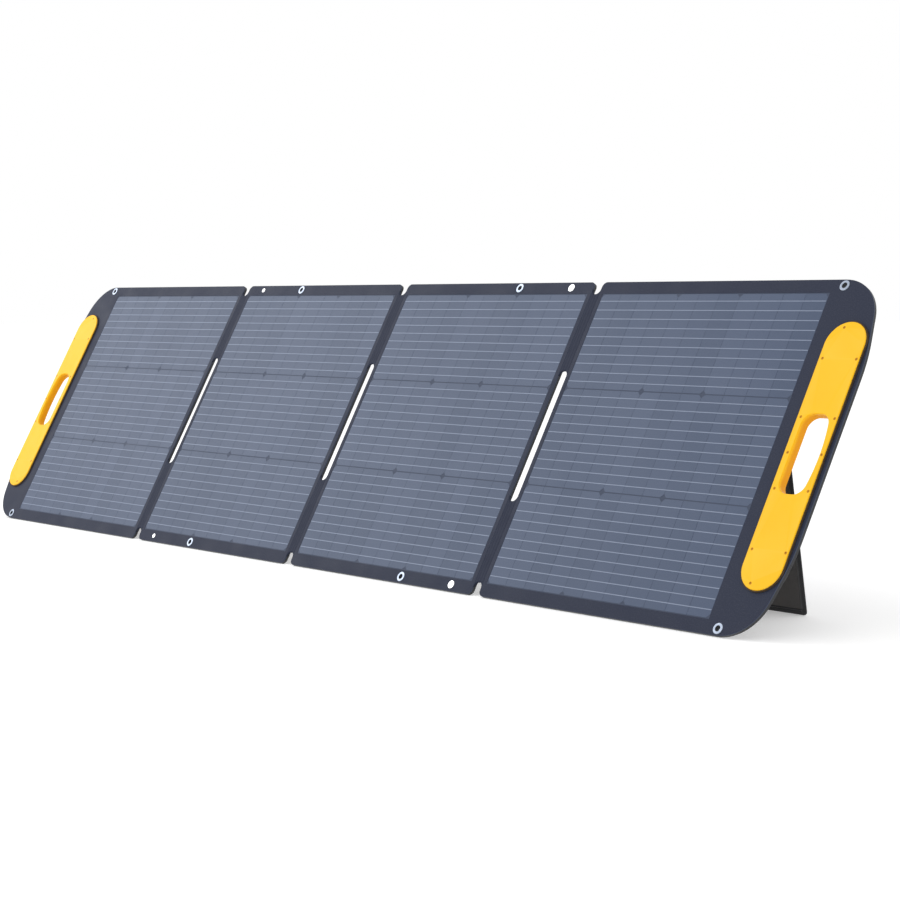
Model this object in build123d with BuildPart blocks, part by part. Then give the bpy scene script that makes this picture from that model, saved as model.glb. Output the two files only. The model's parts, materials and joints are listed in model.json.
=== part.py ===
"""Four-leaf folding solar panel with two carry handles and two rear stands, standing open.

Millimetres, +Z up. X runs along the row of leaves and the cells face -Y, leaning back.
Every point on a leaf is given as (along, up, out): along X, up the slope, and out of the
front face. Heights behind the front face are negative. The leaves are numbered 1 to 4
from -X to +X, and so are the folds between them, 1 to 3.
"""

import os
from math import cos, radians, sin, tan

from build123d import *

# ---- driving dimensions -------------------------------------------------------------
LEAN = 61.2  # slope of the leaves above the floor, degrees
PITCH = 546.0  # fold line to fold line
HEIGHT = 600.0
HALF_LENGTH = 1189.0  # from the middle fold to the outer end
FOLD_GAP = 20.0  # soft gap between two stiff leaves
THICKNESS = 7.5

FRONT_SHEET = 1.6  # laminated front sheet
BACK_SHEET = 1.0
RIM = 3.0  # welded edge around the stiffener board
FRONT_ROUND = 0.7
BACK_ROUND = 1.5
LEAF_CORNER = 10.0

END_TAPER = 12.0  # degrees that the outer ends lean in above TAPER_START
TAPER_START = 165.0
TAPER_ROUND = 300.0
END_CORNER = 80.0

# cells: rows of strips cut from square wafers with clipped corners
STRIPS = 11
ROWS = 3
STRIP_WIDTH = 45.5
STRIP_HEIGHT = 182.0
STRIP_PITCH = 46.0
ROW_PITCH = 184.0
WAFER_EDGES = (0, 4, 7, 11)  # strip edges that were an outer edge of a wafer
WAFER_CLIP = 6.0
CELL_THICKNESS = 0.2
CELL_TOP = -0.25
POCKET_DEPTH = 0.45
POCKET_MARGIN = 1.5
RIBBONS_PER_ROW = 10
RIBBON_WIDTH = 1.5
RIBBON_HEIGHT = 0.2
RIBBON_PITCH = 17.3
RIBBON_END = 0.6  # how far a ribbon stops short of the last strip's edge

# soft folds
SLOT_LENGTH = 250.0
NOTCH_DEPTH = 24.0
FOLD_SKIN_TOP = -0.2
FOLD_SKIN = 3.0
JUMPER_UP = 200.0
JUMPER_WIDTH = 8.0
JUMPER_HEIGHT = 0.4
JUMPER_LENGTH = 56.0
JUMPER_PLAY = 1.0

# eyelets and closure studs
EYELET_UP = 289.0
OUTER_EYELET = 1097.0
INNER_EYELET = 342.0
EYELET_BORE = 5.0
EYELET_TUBE = 5.6
EYELET_FLANGE = 9.2
EYELET_RISE = 1.0
EYELET_ROUND = 0.8
WASHER = 0.7
STUD_ALONG = 480.0
STUD_UP = 288.5
STUD_RADII = {1: 5.0, 2: 7.5}  # leaf 2 has small studs and leaf 3 large ones
STUD_RISE = 1.2
STUD_ROUND = 0.9
STUD_POST = 2.0
STUD_CAP = 6.0
STUD_CAP_HEIGHT = 0.6
MAGNET_RADIUS = 7.0
MAGNET_HEIGHT = 2.5

# handles
HANDLE_ALONG = 1141.5
HANDLE_LENGTH = 447.0
HANDLE_WIDTH = 77.5
HANDLE_ROUND = 1.2
REAR_ROUND = 2.0
GASKET_RISE = 2.8
GASKET_LIP = 2.0
HANDLE_FRONT = 2.0
HANDLE_REAR = 5.0
GRIP_INNER = 1115.0  # straight side, towards the cells
GRIP_SHOULDER = 1163.0
GRIP_OUTER = 1171.5  # middle of the bowed side
GRIP_HALF = 67.0
GRIP_CORNER = 20.0
COLLAR_WALL = 1.2
COLLAR_ROUND = 0.5
SCREW_COLUMNS = (-31.5, 34.0)
SCREW_ROWS = (0.0, 60.0, -60.0, 160.0, -160.0)
END_SCREW = (11.0, 213.5)  # towards the cells, and up or down
SCREW_RADIUS = 1.5
SCREW_HEAD = 2.6
SCREW_BITE = 4.0
SCREW_SLOT = (3.2, 0.7, 0.7)  # length, width and depth of one arm of the cross recess
PLAY = 0.05

# rear stands
STAND_ALONG = 931.5
STAND_WIDTH = 225.0
STAND_OPEN = 38.8  # degrees between a leaf and its open stand
STAND_HINGE_UP = 106.0
STAND_BOARD = 3.0
STAND_GAP = 2.0  # between a closed stand and the leaf
STAND_CORNER = 6.0
STAND_ROUND = 0.8
HINGE_BASE_HEIGHT = 34.0
HINGE_BASE_CORNER = 2.0
HINGE_CLEARANCE = 1.0
TAPE = 1.0
TAPE_MARGIN = 4.0
TAPE_UP = 28.0
TAPE_DOWN = 42.0
STRAP = 1.2
STRAP_WIDTH = 25.0
STRAP_TAB = 30.0
STRAP_LEAF_UP = -150.0
STRAP_STAND_DOWN = 230.0
PATCH = (60.0, 26.0, 0.8)
PATCH_DOWN = 318.0
PATCH_CORNER = 4.0

# junction box
BOX_CENTRE = (-690.0, 190.0)
BOX_SIZE = (120.0, 70.0)
BOX_DEPTH = 16.0
BOX_WALL = 2.5
BOX_CORNER = 6.0
LID = 2.5
LID_ROUND = 1.2
BOX_SCREW = (51.5, 26.5)
BOX_BOSS = 5.0
BOX_SCREW_RADIUS = 1.5
BOX_SCREW_HEAD = 3.0
BOX_HEAD_DEPTH = 1.2
BOX_HEAD_SUNK = 0.1
BOX_SCREW_LENGTH = 9.0
BOX_SCREW_SLOT = (3.4, 0.7, 0.7)
LID_HOLE_PLAY = 0.2
LID_HEAD_PLAY = 0.3
TERMINAL = (10.0, 30.0, 6.0)
TERMINAL_PITCH = 28.0
DIODE = (18.0, 9.0, 5.0)
DIODE_DROP = 5.0
GLAND_BORE = 3.5
GLAND_REACH = 24.0
GLAND_COLLAR = 6.0
GLAND_NUT = (8.0, 6.0)  # half the width across flats, and the height
GLAND_DOME = 7.2
GLAND_TAPER = 7.0

# ---- worked out ---------------------------------------------------------------------
FOLDS = (-PITCH, 0.0, PITCH)
LEAF_CENTRES = (-1.5 * PITCH, -0.5 * PITCH, 0.5 * PITCH, 1.5 * PITCH)
BACK = -THICKNESS
BOARD_TOP = -FRONT_SHEET
BOARD_BOTTOM = BACK + BACK_SHEET
UP = Vector(0, cos(radians(LEAN)), sin(radians(LEAN)))
OUT = Vector(0, -sin(radians(LEAN)), cos(radians(LEAN)))
# the rounded lower back edge of the leaves rests on the floor
ORIGIN = Vector(
    0,
    -THICKNESS * sin(radians(LEAN)) / 2,
    (HEIGHT / 2 - BACK_ROUND) * UP.Z + (THICKNESS - BACK_ROUND) * OUT.Z + BACK_ROUND,
)
CELL_AREA = (STRIPS * STRIP_PITCH, ROWS * ROW_PITCH)
HANDLE_TOP = GASKET_RISE + HANDLE_FRONT
HANDLE_BACK = BACK - HANDLE_REAR
HINGE_OUT = BACK - STAND_GAP - STAND_BOARD  # outer face of a closed stand
HINGE = ORIGIN + UP * STAND_HINGE_UP + OUT * HINGE_OUT
STAND_LEAN = LEAN + STAND_OPEN
STAND_DROP = HINGE.Z - STAND_ROUND + (STAND_BOARD - STAND_ROUND) * cos(radians(STAND_LEAN))
STAND_LENGTH = STAND_ROUND + STAND_DROP / sin(radians(STAND_LEAN))


def leaf_plane(out=0.0):
    """The plane parallel to the leaves at this height out of the front face."""
    return Plane(origin=ORIGIN + OUT * out, x_dir=(1, 0, 0), z_dir=OUT)


def stand_plane(out=0.0):
    """The plane of an open stand, from its outer face towards the leaf, hinge at Y = 0."""
    inward = Vector(0, -sin(radians(STAND_LEAN)), cos(radians(STAND_LEAN)))
    return Plane(origin=HINGE + inward * out, x_dir=(1, 0, 0), z_dir=inward)


def section_plane(along):
    """The upright plane across the leaves, with X up the slope and Y out of the front."""
    return Plane(origin=ORIGIN + Vector(along, 0, 0), x_dir=UP, z_dir=(1, 0, 0))


def save(builder, name):
    """Label one finished piece and write it."""
    builder.part.label = name
    export_step(builder.part, f"parts/{name}.step")


# ---- outlines, drawn in the sketch that is open -------------------------------------
def round_corners(along, radius):
    """Round the corners of the open sketch that stand at this place along X."""
    fillet(vertices().filter_by(lambda corner: abs(corner.X - along) < 0.5), radius)


def draw_leaf(index, inset=0.0):
    """One leaf's outline: square beside a fold, a tapered round end on the outside."""
    half = HEIGHT / 2 - inset
    centre = LEAF_CENTRES[index]
    half_width = (PITCH - FOLD_GAP) / 2 - inset
    corner = max(LEAF_CORNER - inset, 0.5)
    if index in (1, 2):
        with Locations((centre, 0)):
            RectangleRounded(2 * half_width, 2 * half, corner)
        return
    side = 1 if index == 3 else -1
    fold = side * (PITCH + FOLD_GAP / 2 + inset)
    end = side * (HALF_LENGTH - inset)
    shoulder = end - side * (half - TAPER_START) * tan(radians(END_TAPER))
    with BuildLine() as line:
        Polyline(
            (fold, half),
            (shoulder, half),
            (end, TAPER_START),
            (end, -TAPER_START),
            (shoulder, -half),
            (fold, -half),
            close=True,
        )
    make_face(line.edges())
    round_corners(shoulder, END_CORNER - inset)
    round_corners(end, TAPER_ROUND)
    round_corners(fold, corner)


def draw_stadium(side, grow=0.0):
    """The handle's outline, with full round ends."""
    with Locations((side * HANDLE_ALONG, 0)):
        SlotOverall(HANDLE_LENGTH + 2 * grow, HANDLE_WIDTH + 2 * grow, rotation=90)


def draw_grip(side, grow=0.0, mode=Mode.ADD):
    """The grip opening's outline: straight towards the cells and bowed outwards."""
    inner = side * (GRIP_INNER - grow)
    shoulder = side * (GRIP_SHOULDER + grow)
    outer = side * (GRIP_OUTER + grow)
    half = GRIP_HALF + grow
    with BuildSketch(mode=Mode.PRIVATE) as opening:
        with BuildLine() as line:
            Polyline((shoulder, half), (inner, half), (inner, -half), (shoulder, -half))
            ThreePointArc((shoulder, -half), (outer, 0), (shoulder, half))
        make_face(line.edges())
        fillet(opening.vertices(), GRIP_CORNER + grow)
    add(opening.sketch, mode=mode)


def eyelet_points(index):
    """Where the eyelets of one leaf stand."""
    along = (-OUTER_EYELET, -INNER_EYELET, INNER_EYELET, OUTER_EYELET)[index]
    return [(along, EYELET_UP), (along, -EYELET_UP)]


def stud_points(index):
    """Where the closure studs of an inner leaf stand."""
    along = (-STUD_ALONG, STUD_ALONG)[index - 1]
    return [(along, STUD_UP), (along, -STUD_UP)]


def magnet_points(index):
    """Where an outer leaf's magnets meet the studs when the leaves fold face to face."""
    side = -1 if index == 0 else 1
    along = side * (2 * PITCH - STUD_ALONG)
    return [(along, STUD_UP), (along, -STUD_UP)]


def screw_points(side):
    """The twelve screws of one handle."""
    points = [
        (side * (HANDLE_ALONG + column), row) for row in SCREW_ROWS for column in SCREW_COLUMNS
    ]
    points += [(side * (HANDLE_ALONG - END_SCREW[0]), end * END_SCREW[1]) for end in (-1, 1)]
    return points


def handle_side(index):
    """Which end an outer leaf's handle is on, or 0 for an inner leaf."""
    return {0: -1, 3: 1}.get(index, 0)


def draw_openings(index, mode=Mode.SUBTRACT):
    """The holes that go right through one leaf."""
    with Locations(*eyelet_points(index)):
        Circle(EYELET_TUBE + PLAY, mode=mode)
    side = handle_side(index)
    if side:
        draw_grip(side, COLLAR_WALL + PLAY, mode)
        with Locations(*screw_points(side)):
            Circle(SCREW_RADIUS + PLAY, mode=mode)
    else:
        with Locations(*stud_points(index)):
            Circle(STUD_POST + PLAY, mode=mode)


def draw_jumper_channels(index):
    """The shallow channels in which the jumpers lie, beside each fold of one leaf."""
    ends = [fold for fold in FOLDS if abs(fold - LEAF_CENTRES[index]) < PITCH]
    with Locations(*[(fold, up) for fold in ends for up in (JUMPER_UP, -JUMPER_UP)]):
        Rectangle(JUMPER_LENGTH + 2 * JUMPER_PLAY, JUMPER_WIDTH + 2 * JUMPER_PLAY)


def outer_edges(part, out):
    """The longest loop of edges of a sheet at one height, which is its outline."""
    height = ORIGIN.dot(OUT) + out
    level = [face for face in part.faces() if abs(face.center().dot(OUT) - height) < 0.01]
    widest = max(level, key=lambda face: face.area)
    return widest.outer_wire().edges()


# ---- leaves -------------------------------------------------------------------------
def make_front_sheet(index):
    """Dark laminated sheet: the border, and the backing that the cells lie on."""
    with BuildPart() as sheet:
        with BuildSketch(leaf_plane(-FRONT_SHEET)):
            draw_leaf(index)
            draw_openings(index)
        extrude(amount=FRONT_SHEET)
        fillet(outer_edges(sheet.part, 0), FRONT_ROUND)
        with BuildSketch(leaf_plane(-POCKET_DEPTH)):
            with Locations((LEAF_CENTRES[index], 0)):
                Rectangle(CELL_AREA[0] + POCKET_MARGIN, CELL_AREA[1] + POCKET_MARGIN)
        extrude(amount=POCKET_DEPTH, mode=Mode.SUBTRACT)
    save(sheet, f"front_sheet_{index + 1}")


def make_stiffener_board(index):
    """Light stiff board sealed between the front sheet and the back cover."""
    with BuildPart() as board:
        with BuildSketch(leaf_plane(BOARD_BOTTOM)):
            draw_leaf(index, RIM)
            draw_openings(index)
        extrude(amount=BOARD_TOP - BOARD_BOTTOM)
        with BuildSketch(leaf_plane(BOARD_TOP - JUMPER_HEIGHT)):
            draw_jumper_channels(index)
        extrude(amount=JUMPER_HEIGHT, mode=Mode.SUBTRACT)
        if handle_side(index):
            with BuildSketch(leaf_plane(BOARD_TOP - MAGNET_HEIGHT)):
                with Locations(*magnet_points(index)):
                    Circle(MAGNET_RADIUS + PLAY)
            extrude(amount=MAGNET_HEIGHT, mode=Mode.SUBTRACT)
    save(board, f"stiffener_board_{index + 1}")


def make_back_cover(index):
    """Coated fabric back with the welded rim that closes the edge of the leaf."""
    with BuildPart() as cover:
        with BuildSketch(leaf_plane(BACK)):
            draw_leaf(index)
            draw_openings(index)
        extrude(amount=THICKNESS - FRONT_SHEET)
        fillet(outer_edges(cover.part, BACK), BACK_ROUND)
        with BuildSketch(leaf_plane(BOARD_BOTTOM)):
            draw_leaf(index, RIM)
        extrude(amount=BOARD_TOP - BOARD_BOTTOM, mode=Mode.SUBTRACT)
        with BuildSketch(leaf_plane(BOARD_TOP - JUMPER_HEIGHT)):
            draw_jumper_channels(index)
        extrude(amount=JUMPER_HEIGHT, mode=Mode.SUBTRACT)
    save(cover, f"back_cover_{index + 1}")


def make_cell_strips(index):
    """Three rows of narrow cells cut from clipped-corner wafers."""
    centre = LEAF_CENTRES[index]
    edge = centre - CELL_AREA[0] / 2
    wafer_edges = [edge + count * STRIP_PITCH for count in WAFER_EDGES]
    with BuildPart() as cells:
        with BuildSketch(leaf_plane(CELL_TOP - CELL_THICKNESS)) as outline:
            with Locations((centre, 0)):
                with GridLocations(STRIP_PITCH, ROW_PITCH, STRIPS, ROWS):
                    Rectangle(STRIP_WIDTH, STRIP_HEIGHT)
            corners = [
                corner
                for corner in outline.vertices()
                if min(abs(corner.X - line) for line in wafer_edges) < 1
            ]
            chamfer(corners, WAFER_CLIP)
        extrude(amount=CELL_THICKNESS)
    save(cells, f"cell_strips_{index + 1}")


def make_busbar_ribbons(index):
    """Tinned copper ribbons that join the strips of each row."""
    length = STRIPS * STRIP_PITCH - (STRIP_PITCH - STRIP_WIDTH) - 2 * RIBBON_END
    with BuildPart() as ribbons:
        with BuildSketch(leaf_plane(CELL_TOP)):
            with Locations(*[(LEAF_CENTRES[index], row * ROW_PITCH) for row in (-1, 0, 1)]):
                with GridLocations(length, RIBBON_PITCH, 1, RIBBONS_PER_ROW):
                    Rectangle(length, RIBBON_WIDTH)
        extrude(amount=RIBBON_HEIGHT)
    save(ribbons, f"busbar_ribbons_{index + 1}")


# ---- soft folds ---------------------------------------------------------------------
def draw_fold_half(fold, end):
    """The soft strip between the slot and the round notch, at one end of a fold."""
    half = FOLD_GAP / 2
    slot = end * (SLOT_LENGTH / 2 - half)
    notch = end * (HEIGHT / 2 - NOTCH_DEPTH + half)
    with BuildLine() as line:
        Line((fold - half, slot), (fold - half, notch))
        ThreePointArc((fold - half, notch), (fold, notch - end * half), (fold + half, notch))
        Line((fold + half, notch), (fold + half, slot))
        ThreePointArc((fold + half, slot), (fold, slot + end * half), (fold - half, slot))
    make_face(line.edges())


def draw_jumpers(fold, grow=0.0):
    """Both jumpers of one fold."""
    with Locations((fold, JUMPER_UP), (fold, -JUMPER_UP)):
        Rectangle(JUMPER_LENGTH, JUMPER_WIDTH + 2 * grow)


def make_fold_strip(index):
    """Soft skin above and below the slot, with a channel for each jumper."""
    with BuildPart() as strip:
        with BuildSketch(leaf_plane(FOLD_SKIN_TOP - FOLD_SKIN)):
            draw_fold_half(FOLDS[index], 1)
            draw_fold_half(FOLDS[index], -1)
        extrude(amount=FOLD_SKIN)
        with BuildSketch(leaf_plane(BOARD_TOP - JUMPER_HEIGHT)):
            draw_jumpers(FOLDS[index], PLAY)
        extrude(amount=JUMPER_HEIGHT, mode=Mode.SUBTRACT)
    save(strip, f"fold_strip_{index + 1}")


def make_jumper_ribbons(index):
    """Flat copper jumpers that carry the current across one fold."""
    with BuildPart() as jumpers:
        with BuildSketch(leaf_plane(BOARD_TOP - JUMPER_HEIGHT)):
            draw_jumpers(FOLDS[index])
        extrude(amount=JUMPER_HEIGHT)
    save(jumpers, f"jumper_ribbons_{index + 1}")


# ---- eyelets, studs and magnets -----------------------------------------------------
def make_eyelets(index):
    """Rolled eyelets: a tube with a round front flange, and a washer at the back."""
    with BuildPart() as eyelets:
        with BuildSketch(leaf_plane(0)):
            with Locations(*eyelet_points(index)):
                Circle(EYELET_FLANGE)
        extrude(amount=EYELET_RISE)
        fillet(eyelets.edges().filter_by(lambda edge: is_level(edge, EYELET_RISE)), EYELET_ROUND)
        with BuildSketch(leaf_plane(BACK - WASHER)):
            with Locations(*eyelet_points(index)):
                Circle(EYELET_TUBE)
        extrude(amount=THICKNESS + WASHER)
        with BuildSketch(leaf_plane(BACK - WASHER)):
            with Locations(*eyelet_points(index)):
                Circle(EYELET_BORE)
        extrude(amount=THICKNESS + WASHER + EYELET_RISE, mode=Mode.SUBTRACT)
    with BuildPart() as washers:
        with BuildSketch(leaf_plane(BACK - WASHER)):
            with Locations(*eyelet_points(index)):
                Circle(EYELET_FLANGE)
                Circle(EYELET_TUBE + PLAY, mode=Mode.SUBTRACT)
        extrude(amount=WASHER)
    with BuildPart() as both:
        add(eyelets.part)
        add(washers.part)
    save(both, f"eyelets_{index + 1}")


def is_level(edge, out):
    """Whether an edge lies at this height out of the front face."""
    return abs((edge.center() - ORIGIN).dot(OUT) - out) < 0.01


def make_closure_studs(index):
    """Riveted steel studs: a low round cap in front, and a flat cap behind."""
    with BuildPart() as studs:
        with BuildSketch(leaf_plane(0)):
            with Locations(*stud_points(index)):
                Circle(STUD_RADII[index])
        extrude(amount=STUD_RISE)
        fillet(studs.edges().filter_by(lambda edge: is_level(edge, STUD_RISE)), STUD_ROUND)
        with BuildSketch(leaf_plane(BACK)):
            with Locations(*stud_points(index)):
                Circle(STUD_POST)
        extrude(amount=THICKNESS)
        with BuildSketch(leaf_plane(BACK - STUD_CAP_HEIGHT)):
            with Locations(*stud_points(index)):
                Circle(STUD_CAP)
        extrude(amount=STUD_CAP_HEIGHT)
    save(studs, f"closure_studs_{index + 1}")


def make_closure_magnets(index):
    """Disc magnets sealed behind the border of an outer leaf."""
    with BuildPart() as magnets:
        with BuildSketch(leaf_plane(BOARD_TOP - MAGNET_HEIGHT)):
            with Locations(*magnet_points(index)):
                Circle(MAGNET_RADIUS)
        extrude(amount=MAGNET_HEIGHT)
    save(magnets, f"closure_magnets_{index + 1}")


# ---- handles ------------------------------------------------------------------------
def make_handle_gasket(side, name):
    """Dark rubber gasket under the front plate, which stands the plate off the sheet."""
    with BuildPart() as gasket:
        with BuildSketch(leaf_plane(0)):
            draw_stadium(side, GASKET_LIP)
            draw_grip(side, COLLAR_WALL + PLAY, Mode.SUBTRACT)
            with Locations(*screw_points(side)):
                Circle(SCREW_RADIUS + PLAY, mode=Mode.SUBTRACT)
        extrude(amount=GASKET_RISE)
    save(gasket, f"handle_gasket_{name}")


def make_handle_front(side, name):
    """Front plate with the collar that lines the grip opening from front to back."""
    with BuildPart() as plate:
        with BuildSketch(leaf_plane(GASKET_RISE)):
            draw_stadium(side)
        extrude(amount=HANDLE_FRONT)
        with BuildSketch(leaf_plane(HANDLE_BACK)):
            draw_grip(side, COLLAR_WALL)
        extrude(amount=GASKET_RISE - HANDLE_BACK)
        with BuildSketch(leaf_plane(HANDLE_BACK)):
            draw_grip(side)
        extrude(amount=HANDLE_TOP - HANDLE_BACK, mode=Mode.SUBTRACT)
        fillet(plate.edges().filter_by(lambda edge: is_level(edge, HANDLE_BACK)), COLLAR_ROUND)
        rim = plate.edges().filter_by(lambda edge: is_level(edge, HANDLE_TOP))
        fillet(rim, HANDLE_ROUND)
        with Locations(leaf_plane(HANDLE_TOP)):
            with Locations(*screw_points(side)):
                CounterSinkHole(SCREW_RADIUS + PLAY, SCREW_HEAD + 2 * PLAY, HANDLE_FRONT, 90)
    save(plate, f"handle_front_plate_{name}")


def make_handle_rear(side, name):
    """Rear plate round the collar, with a blind threaded hole for each screw."""
    with BuildPart() as plate:
        with BuildSketch(leaf_plane(HANDLE_BACK)):
            draw_stadium(side)
            draw_grip(side, COLLAR_WALL + PLAY, Mode.SUBTRACT)
        extrude(amount=HANDLE_REAR)
        fillet(outer_edges(plate.part, HANDLE_BACK), REAR_ROUND)
        with BuildSketch(leaf_plane(BACK - SCREW_BITE)):
            with Locations(*screw_points(side)):
                Circle(SCREW_RADIUS + PLAY)
        extrude(amount=SCREW_BITE, mode=Mode.SUBTRACT)
    save(plate, f"handle_rear_plate_{name}")


def make_handle_screws(side, name):
    """Countersunk screws with a cross recess."""
    head = SCREW_HEAD - SCREW_RADIUS
    base = (Align.CENTER, Align.CENTER, Align.MIN)
    with BuildPart() as screws:
        with BuildSketch(leaf_plane(BACK - SCREW_BITE)):
            with Locations(*screw_points(side)):
                Circle(SCREW_RADIUS)
        extrude(amount=HANDLE_TOP - BACK + SCREW_BITE)
        with Locations(leaf_plane(HANDLE_TOP - head)):
            with Locations(*screw_points(side)):
                Cone(SCREW_RADIUS, SCREW_HEAD, head, align=base)
        with BuildSketch(leaf_plane(HANDLE_TOP - SCREW_SLOT[2])):
            with Locations(*screw_points(side)):
                Rectangle(SCREW_SLOT[0], SCREW_SLOT[1])
                Rectangle(SCREW_SLOT[1], SCREW_SLOT[0])
        extrude(amount=SCREW_SLOT[2], mode=Mode.SUBTRACT)
    save(screws, f"handle_screws_{name}")


# ---- stands -------------------------------------------------------------------------
def ribbon(points, thickness):
    """The outline of a ribbon of even thickness whose middle follows these points."""
    points = [Vector(*point) for point in points]
    runs = [(after - before).normalized() for before, after in zip(points, points[1:])]
    sides = [Vector(-run.Y, run.X) for run in runs]
    offsets = [sides[0]]
    for before, after in zip(sides, sides[1:]):
        offsets.append((before + after) / (1 + before.dot(after)))
    offsets.append(sides[-1])
    left = [point + offset * (thickness / 2) for point, offset in zip(points, offsets)]
    right = [point - offset * (thickness / 2) for point, offset in zip(points, offsets)]
    return [(corner.X, corner.Y) for corner in left + right[::-1]]


def on_stand(down, inward):
    """(up, out) of a point on an open stand: down from the hinge, and in from its outer face."""
    angle = radians(STAND_OPEN)
    up = STAND_HINGE_UP - down * cos(angle) - inward * sin(angle)
    out = HINGE_OUT - down * sin(angle) + inward * cos(angle)
    return (up, out)


def make_stand_flap(side, name):
    """Stiff flap that swings out behind an outer leaf and stands on the floor."""
    with BuildPart() as flap:
        with BuildSketch(stand_plane()) as outline:
            with Locations((side * STAND_ALONG, -STAND_LENGTH / 2)):
                Rectangle(STAND_WIDTH, STAND_LENGTH)
            fillet(outline.vertices().group_by(Axis.Y)[0], STAND_CORNER)
        extrude(amount=STAND_BOARD)
        faces = flap.faces().sort_by(lambda face: face.area)[-2:]
        fillet([edge for face in faces for edge in face.edges()], STAND_ROUND)
    save(flap, f"stand_flap_{name}")


def make_stand_hinge_base(side, name):
    """Strip bonded to the leaf that brings the hinge tape level with the flap."""
    low = STAND_HINGE_UP + HINGE_CLEARANCE
    with BuildPart() as base:
        with BuildSketch(leaf_plane(HINGE_OUT)):
            with Locations((side * STAND_ALONG, low + HINGE_BASE_HEIGHT / 2)):
                RectangleRounded(STAND_WIDTH, HINGE_BASE_HEIGHT, HINGE_BASE_CORNER)
        extrude(amount=BACK - HINGE_OUT)
    save(base, f"stand_hinge_base_{name}")


def make_stand_hinge_tape(side, name):
    """Fabric tape bonded to the base and the flap, which bends as the stand swings."""
    middle = TAPE / 2
    corner = STAND_HINGE_UP + middle * tan(radians(STAND_OPEN) / 2)
    path = [
        (STAND_HINGE_UP + TAPE_UP, HINGE_OUT - middle),
        (corner, HINGE_OUT - middle),
        on_stand(TAPE_DOWN, -middle),
    ]
    with BuildPart() as tape:
        with BuildSketch(section_plane(side * STAND_ALONG - STAND_WIDTH / 2 + TAPE_MARGIN)):
            Polygon(*ribbon(path, TAPE), align=None)
        extrude(amount=STAND_WIDTH - 2 * TAPE_MARGIN)
    save(tape, f"stand_hinge_tape_{name}")


def make_stand_limit_strap(side, name):
    """Webbing that stops the stand at its open angle, sewn to the leaf and to the flap."""
    middle = STRAP / 2
    path = [
        (STRAP_LEAF_UP - STRAP_TAB, BACK - middle),
        (STRAP_LEAF_UP, BACK - middle),
        on_stand(STRAP_STAND_DOWN, STAND_BOARD + middle),
        on_stand(STRAP_STAND_DOWN - STRAP_TAB, STAND_BOARD + middle),
    ]
    with BuildPart() as strap:
        with BuildSketch(section_plane(side * STAND_ALONG - STRAP_WIDTH / 2)):
            Polygon(*ribbon(path, STRAP), align=None)
        extrude(amount=STRAP_WIDTH)
    save(strap, f"stand_limit_strap_{name}")


def make_stand_patches(side, name):
    """Hook patch on the flap and loop patch on the leaf, which hold the stand shut."""
    width, height, thickness = PATCH
    with BuildPart() as hook:
        with BuildSketch(stand_plane(STAND_BOARD)):
            with Locations((side * STAND_ALONG, -PATCH_DOWN)):
                RectangleRounded(width, height, PATCH_CORNER)
        extrude(amount=thickness)
    save(hook, f"stand_hook_patch_{name}")
    with BuildPart() as loop:
        with BuildSketch(leaf_plane(BACK - thickness)):
            with Locations((side * STAND_ALONG, STAND_HINGE_UP - PATCH_DOWN)):
                RectangleRounded(width, height, PATCH_CORNER)
        extrude(amount=thickness)
    save(loop, f"stand_loop_patch_{name}")


# ---- junction box -------------------------------------------------------------------
def box_corners():
    """The four lid screws."""
    return [
        (BOX_CENTRE[0] + along * BOX_SCREW[0], BOX_CENTRE[1] + up * BOX_SCREW[1])
        for along in (-1, 1)
        for up in (-1, 1)
    ]


def gland_plane():
    """The plane of the box's lower wall, facing down the slope, centred on the gland."""
    centre = ORIGIN + Vector(BOX_CENTRE[0], 0, 0) + UP * (BOX_CENTRE[1] - BOX_SIZE[1] / 2)
    return Plane(origin=centre + OUT * (BACK - BOX_DEPTH / 2), x_dir=(1, 0, 0), z_dir=-UP)


def make_junction_box_base():
    """Open box bonded to the back of leaf 1."""
    with BuildPart() as base:
        with BuildSketch(leaf_plane(BACK - BOX_DEPTH)):
            with Locations(BOX_CENTRE):
                RectangleRounded(*BOX_SIZE, BOX_CORNER)
        extrude(amount=BOX_DEPTH)
        with BuildSketch(leaf_plane(BACK - BOX_DEPTH)):
            with Locations(BOX_CENTRE):
                RectangleRounded(
                    BOX_SIZE[0] - 2 * BOX_WALL, BOX_SIZE[1] - 2 * BOX_WALL, BOX_CORNER - BOX_WALL
                )
        extrude(amount=BOX_DEPTH - BOX_WALL, mode=Mode.SUBTRACT)
        with BuildSketch(leaf_plane(BACK - BOX_DEPTH)):
            with Locations(*box_corners()):
                Circle(BOX_BOSS)
        extrude(amount=BOX_DEPTH)
        with BuildSketch(leaf_plane(BACK - BOX_DEPTH)):
            with Locations(*box_corners()):
                Circle(BOX_SCREW_RADIUS + PLAY)
        extrude(amount=BOX_DEPTH - BOX_WALL, mode=Mode.SUBTRACT)
        with BuildSketch(gland_plane().offset(-2 * BOX_WALL)):
            Circle(GLAND_COLLAR + PLAY)
        extrude(amount=2 * BOX_WALL, mode=Mode.SUBTRACT)
    save(base, "junction_box_base")


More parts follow.
